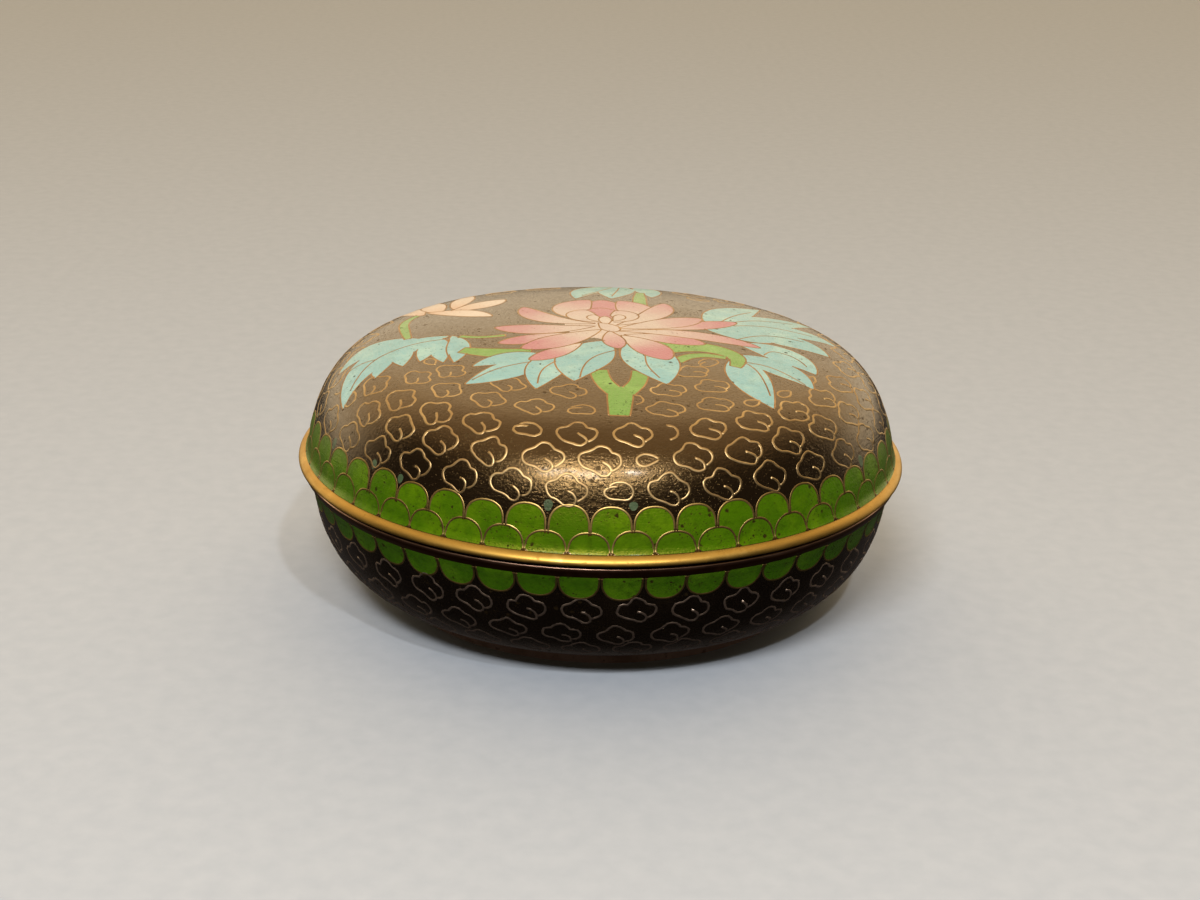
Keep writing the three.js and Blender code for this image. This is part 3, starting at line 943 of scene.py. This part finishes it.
# how far the bead stands out, the height of its widest line and that of its foot
bead_reach, belt, bead_foot = 2.8, SEAM - 0.6, SEAM - 1.26
bead_heart = (BEAD_RADIUS - bead_reach, belt)
turned_ring("lid_bead", [
    (LID_BORE, SEAM - 1.45), (57.0, SEAM - 1.45), (57.2, SEAM - 1.2),
    *arc(bead_heart, bead_reach, -84, 0, 14, belt - bead_foot),
    *arc(bead_heart, bead_reach, 6, 90, 14, SEAM + BEAD_HALF - belt),
    (56.7, SEAM + 1.0), (LID_BORE, SEAM + 0.8),
], gilt, "lid_rim")
turned_ring("bowl_band", [
    (LIP_INNER, BOWL_TOP - 0.1), (58.25, BOWL_TOP - 0.1), (58.5, BOWL_TOP + 0.25), (58.85, BOWL_TOP + 0.8),
    (BAND_RADIUS - 0.06, BOWL_TOP + 1.3), *arc((BAND_RADIUS - 0.3, BAND_TOP - 0.3), 0.3, 0, 90, 6),
    (LIP_OUTER + 0.1, BAND_TOP), (LIP_OUTER, BAND_TOP + 0.1),
    *arc((LIP_OUTER - 0.3, LIP_TOP - 0.3), 0.3, 0, 90, 5),
    *arc((LIP_INNER + 0.3, LIP_TOP - 0.3), 0.3, 90, 180, 5),
], copper, "bowl_rim", (BAND_RADIUS - 0.1, BAND_TOP - 0.1))
foot_in = FOOT_RADIUS - 2.6
turned_ring("foot", [
    *arc((foot_in + 0.3, 0.3), 0.3, 180, 270, 4), *arc((FOOT_RADIUS - 0.6, 0.4), 0.4, 270, 350, 5),
    (FOOT_RADIUS - 0.05, 1.3), (FOOT_RADIUS, BASE + 0.05), (foot_in, BASE + 0.05),
], worn_foot, "foot_ring")

# ---- floor, light and camera ----------------------------------------------------------------------
floor_mesh = bpy.data.meshes.new("floor")
floor_mesh.from_pydata([(-3, -3, 0), (3, -3, 0), (3, 3, 0), (-3, 3, 0)], [], [(0, 1, 2, 3)])
floor = bpy.data.objects.new("floor", floor_mesh)
bpy.context.scene.collection.objects.link(floor)
floor.visible_glossy = False  # the glaze reflects the room's dark floor instead
floor_material, w, shader = new_material("pale_floor")
where = w.node("TexCoord").outputs["Object"]
grain = w.node("TexNoise", None, Vector=where, Scale=260.0, Detail=3.0).outputs[0]
paper = w.blend(w.fit(grain, 0.3, 0.7), (0.36, 0.42, 0.52, 1), (0.39, 0.45, 0.55, 1))
w.put(shader.inputs["Base Color"], paper)
shader.inputs["Roughness"].default_value = 0.8
floor_mesh.materials.append(floor_material)

# The room that the box reflects: a lit wall behind the box, a dark wall and floor in front of
# it and a lit ceiling. The camera itself sees a plain backdrop in its place.
world = bpy.data.worlds.new("studio")
bpy.context.scene.world = world
world.use_nodes = True
world.node_tree.nodes.clear()
w = Wiring(world.node_tree)
way = w.node("SeparateXYZ", None, Vector=w.node("TexCoord").outputs["Generated"])
height = way.outputs["Z"]
behind = w.math("MULTIPLY_ADD", way.outputs["X"], -0.065, way.outputs["Y"])
wall = w.math("MULTIPLY", w.fit(behind, 0.20, 0.52), w.fit(height, -0.09, -0.03))
side = w.math("ABSOLUTE", way.outputs["X"])
plaster = w.blend(w.fit(side, 0.3, 0.8), (1.28, 1.03, 0.70, 1), (1.75, 1.42, 0.95, 1))
plaster = w.blend(w.fit(height, 0.22, 0.50), plaster, (1.75, 1.24, 0.66, 1))
room = w.blend(wall, (0.10, 0.075, 0.045, 1), plaster)
ceiling = w.blend(w.fit(behind, -0.5, -0.1), (0.66, 0.48, 0.29, 1), (1.20, 0.86, 0.50, 1))
room = w.blend(w.fit(height, 0.58, 0.90), room, ceiling)
below = w.math("MULTIPLY", w.fit(height, 0.0, -0.02), w.math("SUBTRACT", 1.0, wall))
floor_tone = w.blend(w.fit(behind, 0.2, 0.6), (0.016, 0.013, 0.012, 1), (0.045, 0.038, 0.034, 1))
room = w.blend(below, room, floor_tone)
backdrop = (0.50, 0.47, 0.43, 1)
room = w.blend(w.node("LightPath").outputs["Is Camera Ray"], room, backdrop)
background = w.node("Background", None, Color=room, Strength=1.0)
w.put(w.node("OutputWorld").inputs["Surface"], background.outputs[0])


def soft_box(name, place, aim, width, height, power, colour):
    """A rectangular area lamp at place that faces aim, both in metres."""
    lamp = bpy.data.lights.new(name, "AREA")
    lamp.shape, lamp.size, lamp.size_y = "RECTANGLE", width, height
    lamp.energy, lamp.color = power, colour
    made = bpy.data.objects.new(name, lamp)
    bpy.context.scene.collection.objects.link(made)
    made.location = place
    made.rotation_euler = (Vector(aim) - Vector(place)).to_track_quat("-Z", "Y").to_euler()


middle_of_box = (0, 0, 0.03)
soft_box("key", (-0.15, -0.65, 0.72), middle_of_box, 0.34, 0.14, 6.8, (1.0, 0.94, 0.85))
soft_box("spark", (0.17, -0.62, 0.74), middle_of_box, 0.04, 0.04, 2.4, (1.0, 0.95, 0.88))

camera_data = bpy.data.cameras.new("camera")
camera_data.lens, camera_data.sensor_width = 58.7, 36.0
camera_data.dof.use_dof = False
camera_data.clip_start, camera_data.clip_end = 0.01, 20
camera = bpy.data.objects.new("camera", camera_data)
bpy.context.scene.collection.objects.link(camera)
DOWN, YAW, ROLL = math.radians(20.0), math.radians(-0.02), math.radians(1.29)
ahead = Vector((math.sin(YAW) * math.cos(DOWN), math.cos(YAW) * math.cos(DOWN), -math.sin(DOWN)))
right = ahead.cross(Vector((0, 0, 1))).normalized()
up = right.cross(ahead)
right, up = (right * math.cos(ROLL) + up * math.sin(ROLL), up * math.cos(ROLL) - right * math.sin(ROLL))
turn = Matrix((right, up, -ahead)).transposed().to_4x4()
camera_stand = (0, -0.3696, 0.1615)
camera.matrix_world = Matrix.Translation(camera_stand) @ turn
bpy.context.scene.camera = camera
bpy.context.scene.view_settings.view_transform = "Standard"
